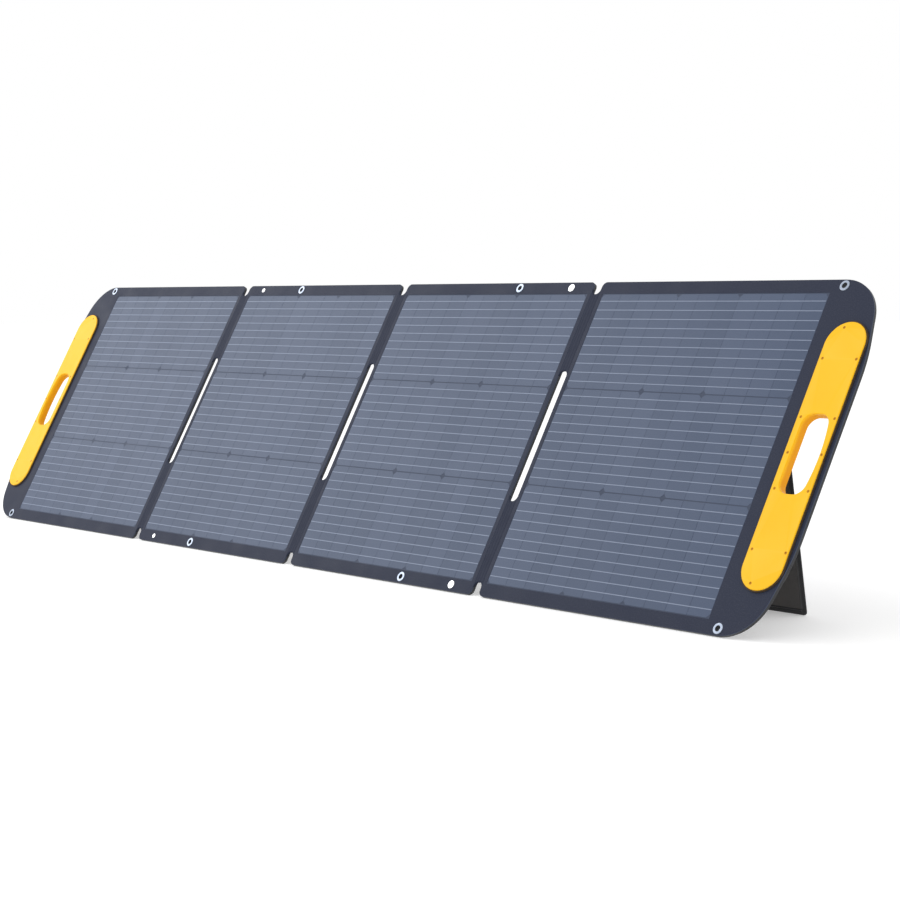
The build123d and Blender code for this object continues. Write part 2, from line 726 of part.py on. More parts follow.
def make_junction_box_lid():
    """Screwed lid with a rounded edge."""
    outer = BACK - BOX_DEPTH - LID
    with BuildPart() as lid:
        with BuildSketch(leaf_plane(outer)):
            with Locations(BOX_CENTRE):
                RectangleRounded(*BOX_SIZE, BOX_CORNER)
        extrude(amount=LID)
        fillet(outer_edges(lid.part, outer), LID_ROUND)
        with BuildSketch(leaf_plane(outer)):
            with Locations(*box_corners()):
                Circle(BOX_SCREW_RADIUS + LID_HOLE_PLAY)
        extrude(amount=LID, mode=Mode.SUBTRACT)
        with BuildSketch(leaf_plane(outer)):
            with Locations(*box_corners()):
                Circle(BOX_SCREW_HEAD + LID_HEAD_PLAY)
        extrude(amount=BOX_HEAD_DEPTH + BOX_HEAD_SUNK, mode=Mode.SUBTRACT)
    save(lid, "junction_box_lid")


def make_junction_box_screws():
    """Four flat-headed screws, sunk in the lid."""
    top = BACK - BOX_DEPTH - LID + BOX_HEAD_SUNK
    with BuildPart() as screws:
        with BuildSketch(leaf_plane(top)):
            with Locations(*box_corners()):
                Circle(BOX_SCREW_HEAD)
        extrude(amount=BOX_HEAD_DEPTH)
        with BuildSketch(leaf_plane(top + BOX_HEAD_DEPTH)):
            with Locations(*box_corners()):
                Circle(BOX_SCREW_RADIUS)
        extrude(amount=BOX_SCREW_LENGTH)
        with BuildSketch(leaf_plane(top)):
            with Locations(*box_corners()):
                Rectangle(BOX_SCREW_SLOT[0], BOX_SCREW_SLOT[1])
                Rectangle(BOX_SCREW_SLOT[1], BOX_SCREW_SLOT[0])
        extrude(amount=BOX_SCREW_SLOT[2], mode=Mode.SUBTRACT)
    save(screws, "junction_box_screws")


def make_terminals():
    """Three brass terminals in the junction box."""
    width, height, depth = TERMINAL
    spots = [(BOX_CENTRE[0] + count * TERMINAL_PITCH, BOX_CENTRE[1]) for count in (-1, 0, 1)]
    with BuildPart() as terminals:
        with BuildSketch(leaf_plane(BACK - BOX_WALL - depth)):
            with Locations(*spots):
                Rectangle(width, height)
        extrude(amount=depth)
    save(terminals, "junction_box_terminals")


def make_diodes():
    """A bypass diode between each pair of terminals."""
    width, height, depth = DIODE
    up = BOX_CENTRE[1] - DIODE_DROP
    gaps = [(BOX_CENTRE[0] + side * TERMINAL_PITCH / 2, up) for side in (-1, 1)]
    with BuildPart() as diodes:
        with BuildSketch(leaf_plane(BACK - BOX_WALL - depth)):
            with Locations(*gaps):
                Rectangle(width, height)
        extrude(amount=depth)
    save(diodes, "bypass_diodes")


def make_cable_gland():
    """Gland that the output lead would leave by: inner collar, hexagon and dome nut."""
    plane = gland_plane()
    flat, nut = GLAND_NUT
    with BuildPart() as gland:
        with BuildSketch(plane.offset(-BOX_WALL)):
            Circle(GLAND_COLLAR)
        extrude(amount=BOX_WALL)
        with BuildSketch(plane):
            RegularPolygon(flat, 6, major_radius=False)
        extrude(amount=nut)
        with BuildSketch(plane.offset(nut)):
            Circle(GLAND_DOME)
        extrude(amount=GLAND_REACH - nut, taper=GLAND_TAPER)
        with BuildSketch(plane.offset(-BOX_WALL)):
            Circle(GLAND_BORE)
        extrude(amount=BOX_WALL + GLAND_REACH, mode=Mode.SUBTRACT)
    save(gland, "cable_gland")


def main():
    """Make every piece and write it."""
    os.makedirs("parts", exist_ok=True)
    for index in range(4):
        make_front_sheet(index)
        make_stiffener_board(index)
        make_back_cover(index)
        make_cell_strips(index)
        make_busbar_ribbons(index)
        make_eyelets(index)
    for index in (1, 2):
        make_closure_studs(index)
    for index in (0, 3):
        make_closure_magnets(index)
    for index in range(3):
        make_fold_strip(index)
        make_jumper_ribbons(index)
    for side, name in ((-1, "left"), (1, "right")):
        make_handle_front(side, name)
        make_handle_rear(side, name)
        make_handle_screws(side, name)
        make_handle_gasket(side, name)
        make_stand_flap(side, name)
        make_stand_hinge_base(side, name)
        make_stand_hinge_tape(side, name)
        make_stand_limit_strap(side, name)
        make_stand_patches(side, name)
    make_junction_box_base()
    make_junction_box_lid()
    make_junction_box_screws()
    make_terminals()
    make_diodes()
    make_cable_gland()


if __name__ == "__main__":
    main()
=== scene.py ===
import json
import math

import bmesh
import bpy
from mathutils import Matrix, Vector


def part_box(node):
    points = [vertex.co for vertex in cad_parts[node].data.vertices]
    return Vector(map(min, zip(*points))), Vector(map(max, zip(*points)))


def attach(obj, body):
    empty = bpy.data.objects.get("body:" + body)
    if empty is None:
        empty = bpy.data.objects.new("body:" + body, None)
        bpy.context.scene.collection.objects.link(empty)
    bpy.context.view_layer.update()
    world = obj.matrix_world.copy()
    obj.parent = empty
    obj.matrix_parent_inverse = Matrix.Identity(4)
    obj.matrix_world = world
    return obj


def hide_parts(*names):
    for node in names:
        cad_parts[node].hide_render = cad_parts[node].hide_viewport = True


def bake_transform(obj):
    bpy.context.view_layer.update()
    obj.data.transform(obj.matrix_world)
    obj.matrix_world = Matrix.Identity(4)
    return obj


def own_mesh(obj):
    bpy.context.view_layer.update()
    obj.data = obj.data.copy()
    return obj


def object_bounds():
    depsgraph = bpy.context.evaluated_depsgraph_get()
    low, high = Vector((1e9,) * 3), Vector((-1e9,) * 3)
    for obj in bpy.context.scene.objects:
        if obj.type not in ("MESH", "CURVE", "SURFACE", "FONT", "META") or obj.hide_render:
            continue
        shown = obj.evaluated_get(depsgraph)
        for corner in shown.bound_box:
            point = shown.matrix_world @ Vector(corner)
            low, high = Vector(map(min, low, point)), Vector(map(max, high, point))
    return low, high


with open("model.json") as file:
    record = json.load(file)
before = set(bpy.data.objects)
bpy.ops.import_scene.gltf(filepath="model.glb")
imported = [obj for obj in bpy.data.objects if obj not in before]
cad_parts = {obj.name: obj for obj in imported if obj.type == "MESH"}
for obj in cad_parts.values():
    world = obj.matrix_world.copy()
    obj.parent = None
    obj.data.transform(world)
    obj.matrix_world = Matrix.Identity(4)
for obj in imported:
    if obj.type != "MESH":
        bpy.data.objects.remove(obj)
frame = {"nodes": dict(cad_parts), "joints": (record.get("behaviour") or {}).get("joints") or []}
CAD_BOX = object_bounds()
MM = 0.001

# ---- the panel's own directions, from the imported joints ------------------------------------
JOINTS = {joint["name"]: joint for joint in frame["joints"]}
ALONG = Vector((1, 0, 0))
UP = Vector(JOINTS["fold_centre"]["axis"]).normalized()
OUT = ALONG.cross(UP)
LEAN = math.atan2(UP.z, UP.y)
THICKNESS = 7.5 * MM
CREASE_OFFSET = 0.75 * MM
ORIGIN = Vector(JOINTS["fold_centre"]["pos_m"]) + OUT * (THICKNESS + CREASE_OFFSET)
PITCH = JOINTS["fold_right"]["pos_m"][0]
HINGE = Vector(JOINTS["stand_right_hinge"]["pos_m"])
STAND_ALONG = HINGE.x
STAND_OPEN = -math.radians(JOINTS["stand_right_hinge"]["range_deg"][0])
HINGE_UP = (HINGE - ORIGIN).dot(UP)
HINGE_OUT = (HINGE - ORIGIN).dot(OUT)

SIDES = {"left": -1, "right": 1}
END_PANELS = {"left": "panel_1", "right": "panel_4"}


def place(along, up, out):
    """The point at this place on the leaves' common plane, in the row frame."""
    return ORIGIN + ALONG * along + UP * up + OUT * out


# ---- materials ------------------------------------------------------------------------------
class Surface:
    """A material in the making, with short calls for the nodes it needs."""

    def __init__(self, name, origin=ORIGIN, lean=LEAN):
        """Its coordinates run along the panel, up the slope and out of the face, from origin."""
        self.material = bpy.data.materials.new(name)
        self.material.use_nodes = True
        self.tree = self.material.node_tree
        self.shader = self.tree.nodes["Principled BSDF"]
        turn = Matrix.Rotation(-lean, 3, "X")
        where = self.node("ShaderNodeTexCoord")
        self.place = self.node("ShaderNodeMapping", Vector=where.outputs["Object"])
        self.place.inputs["Rotation"].default_value = (-lean, 0, 0)
        self.place.inputs["Location"].default_value = -(turn @ origin)
        self.place = self.place.outputs["Vector"]
        split = self.node("ShaderNodeSeparateXYZ", Vector=self.place)
        self.along, self.up, self.out = split.outputs[:3]

    def node(self, kind, **inputs):
        """A node, with the inputs named set to values or joined to outputs."""
        made = self.tree.nodes.new(kind)
        for name, value in inputs.items():
            self.join(made, name.replace("_", " "), value)
        return made

    def join(self, node, name, value):
        """Set one input, by its name or number, to a value or join it to an output."""
        target = node.inputs[name]
        if isinstance(value, bpy.types.NodeSocket):
            self.tree.links.new(value, target)
        else:
            target.default_value = value

    def math(self, operation, first, second=0.0, third=0.0):
        """One step of arithmetic."""
        made = self.tree.nodes.new("ShaderNodeMath")
        made.operation = operation
        for number, value in enumerate((first, second, third)):
            self.join(made, number, value)
        return made.outputs[0]

    def mix(self, share, first, second):
        """A colour between two colours."""
        made = self.tree.nodes.new("ShaderNodeMix")
        made.data_type = "RGBA"
        self.join(made, 0, share)
        self.join(made, 6, first if isinstance(first, bpy.types.NodeSocket) else (*first, 1))
        self.join(made, 7, second if isinstance(second, bpy.types.NodeSocket) else (*second, 1))
        return made.outputs[2]

    def between(self, value, low, high, to_low=0.0, to_high=1.0):
        """A value's place between two others, kept inside a new range."""
        made = self.node("ShaderNodeMapRange", Value=value)
        for number, limit in enumerate((low, high, to_low, to_high), 1):
            self.join(made, number, limit)
        return made.outputs[0]

    def noise(self, size, detail=3.0, stretch=(1, 1, 1)):
        """Noise whose blotches are about this size in metres."""
        scaled = self.node("ShaderNodeMapping", Vector=self.place)
        scaled.inputs["Scale"].default_value = stretch
        made = self.node(
            "ShaderNodeTexNoise", Vector=scaled.outputs[0], Scale=1 / size, Detail=detail
        )
        return made.outputs[0]

    def pebbles(self, size):
        """Rounded grains of about this size in metres, as a distance from each grain's middle."""
        made = self.node("ShaderNodeTexVoronoi", Vector=self.place, Scale=1 / size)
        return made.outputs["Distance"]

    def wave(self, value, pitch, offset=0.0):
        """A smooth wave from 0 to 1 along a coordinate, highest at offset."""
        turned = self.math("SUBTRACT", value, offset)
        turned = self.math("MULTIPLY", turned, 2 * math.pi / pitch)
        return self.math("MULTIPLY_ADD", self.math("COSINE", turned), 0.5, 0.5)

    def weave(self, thread):
        """The height of a plain weave of threads this wide, from 0 to 1."""
        across = self.wave(self.along, 2 * thread)
        down = self.wave(self.up, 2 * thread)
        over = self.math("MULTIPLY", across, down)
        under = self.math(
            "MULTIPLY", self.math("SUBTRACT", 1.0, across), self.math("SUBTRACT", 1.0, down)
        )
        return self.math("ADD", over, under)

    def bump(self, height, depth, strength=1.0):
        """Add relief this deep, in metres, to what the shader already has."""
        made = self.node("ShaderNodeBump", Height=height, Strength=strength, Distance=depth)
        known = self.shader.inputs["Normal"].links
        if known:
            self.join(made, "Normal", known[0].from_socket)
        self.join(self.shader, "Normal", made.outputs[0])

    def finish(self, **inputs):
        """Set the shader's inputs and give the material."""
        for name, value in inputs.items():
            if isinstance(value, tuple) and len(value) == 3:
                value = (*value, 1)
            self.join(self.shader, name.replace("_", " "), value)
        return self.material


def border_skin():
    """Dark slate laminate with a fine pebble emboss, a little dust and a soft sheen."""
    skin = Surface("border_skin")
    grain = skin.pebbles(1.1 * MM)
    cloud = skin.noise(60 * MM, 4.0)
    fine = skin.noise(2.2 * MM, 3.0)
    tone = skin.mix(cloud, (0.019, 0.023, 0.042), (0.029, 0.034, 0.056))
    tone = skin.mix(skin.between(fine, 0.45, 0.75, 0.0, 0.35), tone, (0.062, 0.068, 0.098))
    behind = skin.math("LESS_THAN", skin.out, -0.2 * MM)
    tone = skin.mix(skin.math("MULTIPLY", behind, 0.85), tone, (0.062, 0.076, 0.115))
    skin.bump(grain, 0.10 * MM, 0.55)
    skin.bump(skin.noise(9 * MM, 2.0), 0.15 * MM, 0.25)
    rough = skin.between(cloud, 0.3, 0.7, 0.46, 0.62)
    return skin.finish(
        Base_Color=tone, Roughness=rough, Specular_IOR_Level=0.12, Specular_Tint=(0.76, 0.84, 1.0)
    )


def fold_skin():
    """Softer, slightly ribbed skin of the creases."""
    skin = Surface("fold_skin")
    ribs = skin.wave(skin.along, 1.3 * MM)
    cloud = skin.noise(25 * MM, 4.0)
    tone = skin.mix(cloud, (0.019, 0.023, 0.042), (0.030, 0.035, 0.057))
    skin.bump(ribs, 0.10 * MM, 0.5)
    skin.bump(skin.pebbles(0.9 * MM), 0.08 * MM, 0.5)
    return skin.finish(
        Base_Color=tone, Roughness=0.62, Specular_IOR_Level=0.12, Specular_Tint=(0.76, 0.84, 1.0)
    )


STRIP_PITCH = 46 * MM
ROW_PITCH = 184 * MM
FINGER_PITCH = 1.4 * MM


def cell_silicon(index, centre):
    """Slate-blue cells with fine contact fingers, each strip a shade apart, under satin film."""
    cell = Surface(f"cell_silicon_{index}")
    strip = cell.math("DIVIDE", cell.math("SUBTRACT", cell.along, centre), STRIP_PITCH)
    strip = cell.math("FLOOR", cell.math("ADD", strip, 0.5))
    row = cell.math("FLOOR", cell.math("ADD", cell.math("DIVIDE", cell.up, ROW_PITCH), 0.5))
    spot = cell.node("ShaderNodeCombineXYZ", X=strip, Y=row, Z=float(index))
    chance = cell.node("ShaderNodeTexWhiteNoise", Vector=spot.outputs[0]).outputs["Value"]
    cloud = cell.noise(140 * MM, 3.0)
    tone = cell.mix(chance, (0.047, 0.067, 0.119), (0.060, 0.082, 0.140))
    tone = cell.mix(cell.between(cloud, 0.3, 0.7, 0.0, 0.35), tone, (0.076, 0.098, 0.157))
    fingers = cell.between(cell.wave(cell.along, FINGER_PITCH), 0.86, 0.99, 0.0, 0.2)
    tone = cell.mix(fingers, tone, (0.22, 0.25, 0.31))
    cell.bump(cell.pebbles(1.6 * MM), 0.12 * MM, 0.35)
    cell.bump(cell.noise(35 * MM, 2.0), 0.5 * MM, 0.12)
    return cell.finish(
        Base_Color=tone,
        Roughness=0.5,
        Specular_IOR_Level=0.17,
        Specular_Tint=(0.78, 0.88, 1.0),
        Coat_Weight=0.18,
        Coat_Roughness=0.3,
        Coat_IOR=1.4,
    )


def tinned_ribbon():
    """Dull tinned copper, a little uneven along its length."""
    ribbon = Surface("tinned_ribbon")
    streak = ribbon.noise(5 * MM, 3.0, (0.3, 4, 1))
    tone = ribbon.mix(streak, (0.17, 0.205, 0.285), (0.25, 0.29, 0.385))
    ribbon.bump(streak, 0.05 * MM, 0.4)
    return ribbon.finish(Base_Color=tone, Roughness=0.5, Metallic=0.1, Specular_IOR_Level=0.2)


def moulded_yellow():
    """Amber-yellow moulded plastic: spark-eroded grain, soft gloss, paler edges painted as a
    highlight.
    """
    plastic = Surface("moulded_yellow")
    cloud = plastic.noise(70 * MM, 3.0)
    tone = plastic.mix(cloud, (0.90, 0.475, 0.008), (0.95, 0.53, 0.014))
    # painted highlight: sharp edges of the plate are lightened towards pale yellow
    edge_highlight = plastic.node("ShaderNodeNewGeometry").outputs["Pointiness"]
    edge_highlight = plastic.between(edge_highlight, 0.52, 0.60, 0.0, 0.35)
    tone = plastic.mix(edge_highlight, tone, (0.98, 0.74, 0.20))
    # painted shade: the side walls and grip-hole lining below the plate's face turn darker orange
    wall_shade = plastic.between(plastic.out, -2.5 * MM, 2.5 * MM, 0.85, 0.0)
    tone = plastic.mix(wall_shade, tone, (0.76, 0.31, 0.006))
    plastic.bump(plastic.pebbles(0.5 * MM), 0.05 * MM, 0.45)
    rough = plastic.between(plastic.noise(12 * MM, 4.0), 0.3, 0.7, 0.36, 0.46)
    return plastic.finish(
        Base_Color=tone, Roughness=rough, Specular_IOR_Level=0.10, Coat_Weight=0.02,
        Coat_Roughness=0.2,
    )


def shadow_gasket_rubber():
    """Dark brown rubber with a dusty bloom; the gasket ring stands in for the shadow round the
    raised plate.
    """
    rubber = Surface("shadow_gasket_rubber")
    bloom = rubber.noise(6 * MM, 5.0)
    tone = rubber.mix(bloom, (0.030, 0.018, 0.008), (0.085, 0.052, 0.022))
    rubber.bump(rubber.noise(0.8 * MM, 2.0), 0.06 * MM, 0.5)
    return rubber.finish(Base_Color=tone, Roughness=0.72, Specular_IOR_Level=0.3)


def turned_metal(name, dark, light, roughness, metallic=1.0):
    """Plated metal with fine scratches and spots of wear."""
    metal = Surface(name)
    scratch = metal.noise(1.5 * MM, 6.0, (1, 5, 1))
    spots = metal.noise(4 * MM, 3.0)
    tone = metal.mix(spots, dark, light)
    metal.bump(scratch, 0.03 * MM, 0.35)
    rough = metal.between(scratch, 0.3, 0.7, roughness - 0.06, roughness + 0.08)
    return metal.finish(Base_Color=tone, Roughness=rough, Metallic=metallic)


def eyelet_nickel():
    """Nickel eyelets, bright on the flange, with painted shade inside the barrel."""
    metal = Surface("eyelet_nickel")
    spots = metal.noise(4 * MM, 3.0)
    scratch = metal.noise(1.5 * MM, 6.0, (1, 5, 1))
    bright = metal.mix(spots, (0.20, 0.24, 0.31), (0.38, 0.42, 0.50))
    # painted shade: the barrel wall below the face is dark and dull; the flange and back washer
    # stay bright
    depth = metal.between(metal.out, 0.0, 0.75 * MM)
    back = metal.between(metal.out, -THICKNESS - 0.3 * MM, -THICKNESS + 0.6 * MM, 1.0, 0.0)
    shown = metal.math("MAXIMUM", depth, back)
    tone = metal.mix(shown, (0.035, 0.038, 0.045), bright)
    metal.bump(scratch, 0.03 * MM, 0.35)
    rough = metal.between(shown, 0.0, 1.0, 0.7, 0.28)
    return metal.finish(Base_Color=tone, Roughness=rough, Metallic=shown)


def cloth(name, dark, light, thread, depth, origin=ORIGIN, lean=LEAN):
    """Woven cloth: threads over and under, lighter on the crowns, with faded patches."""
    fabric = Surface(name, origin, lean)
    height = fabric.weave(thread)
    faded = fabric.noise(90 * MM, 4.0)
    tone = fabric.mix(height, dark, light)
    tone = fabric.mix(fabric.between(faded, 0.45, 0.75, 0.0, 0.45), tone, light)
    fabric.bump(height, depth, 0.8)
    fabric.bump(fabric.noise(14 * MM, 3.0), 0.4 * MM, 0.3)
    return fabric.finish(
        Base_Color=tone, Roughness=0.82, Specular_IOR_Level=0.25, Sheen_Weight=0.25,
        Sheen_Roughness=0.45,
    )


def webbing(name, origin=ORIGIN, lean=LEAN):
    """Narrow woven tape with ribs along its length and a twill between them."""
    tape = Surface(name, origin, lean)
    slant = tape.math("ADD", tape.up, tape.math("MULTIPLY", tape.along, 0.6))
    twill = tape.wave(slant, 1.6 * MM)
    ribs = tape.wave(tape.along, 2.4 * MM)
    height = tape.math("MULTIPLY_ADD", twill, 0.6, tape.math("MULTIPLY", ribs, 0.4))
    tone = tape.mix(height, (0.012, 0.012, 0.013), (0.050, 0.051, 0.055))
    tape.bump(height, 0.25 * MM, 0.8)
    return tape.finish(Base_Color=tone, Roughness=0.78, Specular_IOR_Level=0.3, Sheen_Weight=0.2)


def napped(name, origin=ORIGIN, lean=LEAN):
    """Hook or loop tape: a dense short pile."""
    pile = Surface(name, origin, lean)
    tufts = pile.pebbles(1.3 * MM)
    fuzz = pile.noise(0.5 * MM, 4.0)
    tone = pile.mix(tufts, (0.055, 0.056, 0.06), (0.008, 0.008, 0.009))
    pile.bump(tufts, 0.5 * MM, 0.9)
    pile.bump(fuzz, 0.3 * MM, 0.8)
    return pile.finish(Base_Color=tone, Roughness=0.9, Specular_IOR_Level=0.2, Sheen_Weight=0.5)


def box_plastic():
    """Black moulded plastic with a spark-eroded skin."""
    plastic = Surface("box_plastic")
    cloud = plastic.noise(30 * MM, 4.0)
    tone = plastic.mix(cloud, (0.014, 0.014, 0.015), (0.030, 0.030, 0.032))
    plastic.bump(plastic.pebbles(0.7 * MM), 0.07 * MM, 0.6)
    return plastic.finish(Base_Color=tone, Roughness=0.5, Specular_IOR_Level=0.45)


def board_core():
    """Pale stiffener board, which shows only as a cut edge."""
    board = Surface("board_core")
    layer = board.wave(board.out, 0.8 * MM)
    fleck = board.noise(3 * MM, 4.0)
    tone = board.mix(fleck, (0.36, 0.35, 0.30), (0.52, 0.50, 0.44))
    tone = board.mix(board.math("MULTIPLY", layer, 0.4), tone, (0.22, 0.21, 0.18))
    board.bump(fleck, 0.2 * MM, 0.5)
    return board.finish(Base_Color=tone, Roughness=0.8, Specular_IOR_Level=0.3)


def thread():
    """Spun sewing thread."""
    yarn = Surface("sewing_thread")
    slant = yarn.math("ADD", yarn.up, yarn.along)
    twist = yarn.wave(slant, 0.5 * MM)
    tone = yarn.mix(twist, (0.055, 0.056, 0.060), (0.15, 0.152, 0.16))
    yarn.bump(twist, 0.08 * MM, 0.7)
    return yarn.finish(Base_Color=tone, Roughness=0.6, Specular_IOR_Level=0.4, Sheen_Weight=0.3)


def floor_paper():
    """Plain pale floor with the faintest unevenness."""
    paper = Surface("floor_paper", Vector(), 0.0)
    cloud = paper.noise(0.9, 2.0)
    tone = paper.mix(cloud, (0.80, 0.80, 0.805), (0.82, 0.82, 0.82))
    return paper.finish(
        Base_Color=tone, Roughness=0.9, Specular_IOR_Level=0.1, Emission_Color=(1, 1, 1),
        Emission_Strength=0.3,
    )


STAND_LEAN = LEAN + STAND_OPEN
BORDER = border_skin()
CREASE = fold_skin()
RIBBON = tinned_ribbon()
YELLOW = moulded_yellow()
SHADOW_GASKET = shadow_gasket_rubber()
EYELET = eyelet_nickel()
NICKEL = turned_metal("bright_nickel", (0.66, 0.67, 0.68), (0.86, 0.87, 0.88), 0.26)
SCREW = turned_metal("bronzed_screw", (0.40, 0.18, 0.015), (0.58, 0.28, 0.025), 0.5, 0.9)
STEEL = turned_metal("plated_steel", (0.30, 0.30, 0.31), (0.50, 0.50, 0.52), 0.34)
BRASS = turned_metal("tinned_brass", (0.52, 0.38, 0.16), (0.72, 0.56, 0.28), 0.32)
OXFORD = cloth("oxford_back", (0.016, 0.017, 0.019), (0.050, 0.052, 0.058), 0.55 * MM, 0.22 * MM)
FLAP_CLOTH = cloth(
    "flap_cloth", (0.037, 0.035, 0.034), (0.118, 0.112, 0.108), 0.6 * MM, 0.25 * MM,
    HINGE, STAND_LEAN,
)
TAPE_CLOTH = webbing("tape_on_leaf")
FLAP_TAPE = webbing("tape_on_flap", HINGE, STAND_LEAN)
LOOPS = napped("loop_pile")
HOOKS = napped("hook_pile", HINGE, STAND_LEAN)
BOX = box_plastic()
BOARD = board_core()
THREAD = thread()


def paint(material, *names):
    """Give CAD nodes their material in place of the one they came with."""
    for name in names:
        shown = frame["nodes"][name]
        shown.data.materials.clear()
        shown.data.materials.append(material)
        for slot in shown.material_slots:
            slot.material = material


def paint_frame():
    """Materials for every CAD node that stays in sight."""
    for number in range(1, 5):
        centre = (number - 2.5) * PITCH
        paint(BORDER, f"front_sheet_{number}")
        paint(BOARD, f"stiffener_board_{number}")
        paint(OXFORD, f"back_cover_{number}")
        paint(cell_silicon(number, centre), f"cell_strips_{number}")
        paint(RIBBON, f"busbar_ribbons_{number}")
        paint(EYELET, f"eyelets_{number}")
    paint(NICKEL, "closure_studs_2", "closure_studs_3")
    paint(STEEL, "closure_magnets_1", "closure_magnets_4")
    for name in SIDES:
        paint(YELLOW, f"handle_front_plate_{name}")
        paint(BOX, f"handle_rear_plate_{name}")
        # the dark gasket ring stands in for the shadow round the raised handle plate
        paint(SHADOW_GASKET, f"handle_gasket_{name}")
        paint(SCREW, f"handle_screws_{name}")
    paint(BOX, "junction_box_base", "junction_box_lid", "cable_gland", "bypass_diodes")
    paint(STEEL, "junction_box_screws")
    paint(BRASS, "junction_box_terminals")


paint_frame()


# ---- mesh pieces ----------------------------------------------------------------------------
def mesh_piece(name, points, faces, material, smooth=True):
    """A mesh object from points in the row frame."""
    mesh = bpy.data.meshes.new(name)
    mesh.from_pydata([tuple(point) for point in points], [], faces)
    mesh.materials.append(material)
    built = bmesh.new()
    built.from_mesh(mesh)
    bmesh.ops.remove_doubles(built, verts=built.verts, dist=0.001 * MM)
    bmesh.ops.recalc_face_normals(built, faces=built.faces)
    for face in built.faces:
        face.smooth = smooth
    built.to_mesh(mesh)
    built.free()
    made = bpy.data.objects.new(name, mesh)
    bpy.context.scene.collection.objects.link(made)
    return made


def sheet_faces(columns, rows, first=0, flip=False):
    """Faces of a grid of points, given column by column."""
    faces = []
    for column in range(columns - 1):
        for row in range(rows - 1):
            corner = first + column * rows + row
            face = (corner, corner + rows, corner + rows + 1, corner + 1)
            faces.append(face[::-1] if flip else face)
    return faces


def slab(name, columns, rows, front, back, material):
    """A closed sheet with thickness: front and back give the point for a column and a row."""
    points = [front(column, row) for column in range(columns) for row in range(rows)]
    points += [back(column, row) for column in range(columns) for row in range(rows)]
    half = columns * rows
    faces = sheet_faces(columns, rows) + sheet_faces(columns, rows, half, True)
    rim = [column * rows for column in range(columns)]
    rim += [(columns - 1) * rows + row for row in range(1, rows)]
    rim += [column * rows + rows - 1 for column in range(columns - 2, -1, -1)]
    rim += list(range(rows - 2, 0, -1))
    for here, after in zip(rim, rim[1:] + rim[:1]):
        faces.append((after, here, here + half, after + half))
    return mesh_piece(name, points, faces, material)


def tube_faces(rings, sides, first=0, closed=False):
    """Faces between rings of points, whose last ring joins the first if closed."""
    faces = []
    for ring in range(rings if closed else rings - 1):
        here, after = first + ring * sides, first + (ring + 1) % rings * sides
        for side in range(sides):
            beside = (side + 1) % sides
            faces.append((here + side, here + beside, after + beside, after + side))
    return faces


def between(low, high, share):
    """The value this share of the way from low to high."""
    return low + (high - low) * share


# ---- creases --------------------------------------------------------------------------------
FOLD_HALF = 10 * MM
SLOT_END = 125 * MM
LEAF_HALF = 300 * MM
NOTCH_DEPTH = 24 * MM
SKIN_TOP = -0.25 * MM
SKIN_BACK = -3.1 * MM
SKIN_COLUMNS = 25
SKIN_ROWS = 49
SKIN_SEAM = 2 * MM
SKIN_SEAM_DIP = 0.2 * MM
SKIN_SWELL = 0.25 * MM
PRESSED_AT = 3.2 * MM
PRESSED_WIDTH = 0.8 * MM
PRESSED_DEPTH = 0.3 * MM


def slot_edge(offset):
    """How far up the soft skin begins, at this distance from the middle of the crease."""
    return SLOT_END - FOLD_HALF + math.sqrt(max(FOLD_HALF**2 - offset**2, 0))


def notch_edge(offset):
    """How far up the soft skin ends, at this distance from the middle of the crease."""
    centre = LEAF_HALF - NOTCH_DEPTH + FOLD_HALF
    return centre - math.sqrt(max(FOLD_HALF**2 - offset**2, 0))


def skin_height(offset):
    """How far out the skin's front lies: two pressed creases, and edges that dip to the leaves."""
    edge = max(abs(offset) - FOLD_HALF + SKIN_SEAM, 0) / SKIN_SEAM
    crease = math.exp(-(((abs(offset) - PRESSED_AT) / PRESSED_WIDTH) ** 2))
    return SKIN_TOP - SKIN_SEAM_DIP * edge**2 - PRESSED_DEPTH * crease


def skin_dip(offset):
    """The shallow swell of the skin's back."""
    return SKIN_SWELL * (1 - (offset / FOLD_HALF) ** 2)


def crease_skin(number, fold, end):
    """The soft strip at one end of one fold, from its slot to its notch."""

    def point(column, row, out):
        offset = between(-FOLD_HALF, FOLD_HALF, column / (SKIN_COLUMNS - 1))
        share = row / (SKIN_ROWS - 1)
        up = between(slot_edge(offset), notch_edge(offset), share)
        return place(fold + offset, end * up, out(offset))

    label = "upper" if end > 0 else "lower"
    made = slab(
        f"crease_skin_{number}_{label}",
        SKIN_COLUMNS,
        SKIN_ROWS,
        lambda column, row: point(column, row, skin_height),
        lambda column, row: point(column, row, lambda offset: SKIN_BACK - skin_dip(offset)),
        CREASE,
    )
    return made


JUMPER_UP = 200 * MM
JUMPER_HALF = 4 * MM
JUMPER_REACH = 28 * MM
JUMPER_TOP = -1.6 * MM
JUMPER_BACK = -2.0 * MM
JUMPER_COLUMNS = 57
JUMPER_ROWS = 5


def jumper(number, fold, end):
    """One flat copper jumper that crosses a fold inside the skin."""

    def point(column, row, out):
        offset = between(-JUMPER_REACH, JUMPER_REACH, column / (JUMPER_COLUMNS - 1))
        across = between(-JUMPER_HALF, JUMPER_HALF, row / (JUMPER_ROWS - 1))
        return place(fold + offset, end * JUMPER_UP + across, out)

    label = "upper" if end > 0 else "lower"
    made = slab(
        f"jumper_{number}_{label}",
        JUMPER_COLUMNS,
        JUMPER_ROWS,
        lambda column, row: point(column, row, JUMPER_TOP),
        lambda column, row: point(column, row, JUMPER_BACK),
        RIBBON,
    )
    return made


def make_creases():
    """Skin and jumpers for the three folds, between the leaves they join."""
    for number in (1, 2, 3):
        fold = (number - 2) * PITCH
        pieces = [crease_skin(number, fold, end) for end in (1, -1)]
        wires = [jumper(number, fold, end) for end in (1, -1)]
        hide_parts(f"fold_strip_{number}")
        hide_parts(f"jumper_ribbons_{number}")
        for piece in pieces + wires:
            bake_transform(piece)


make_creases()


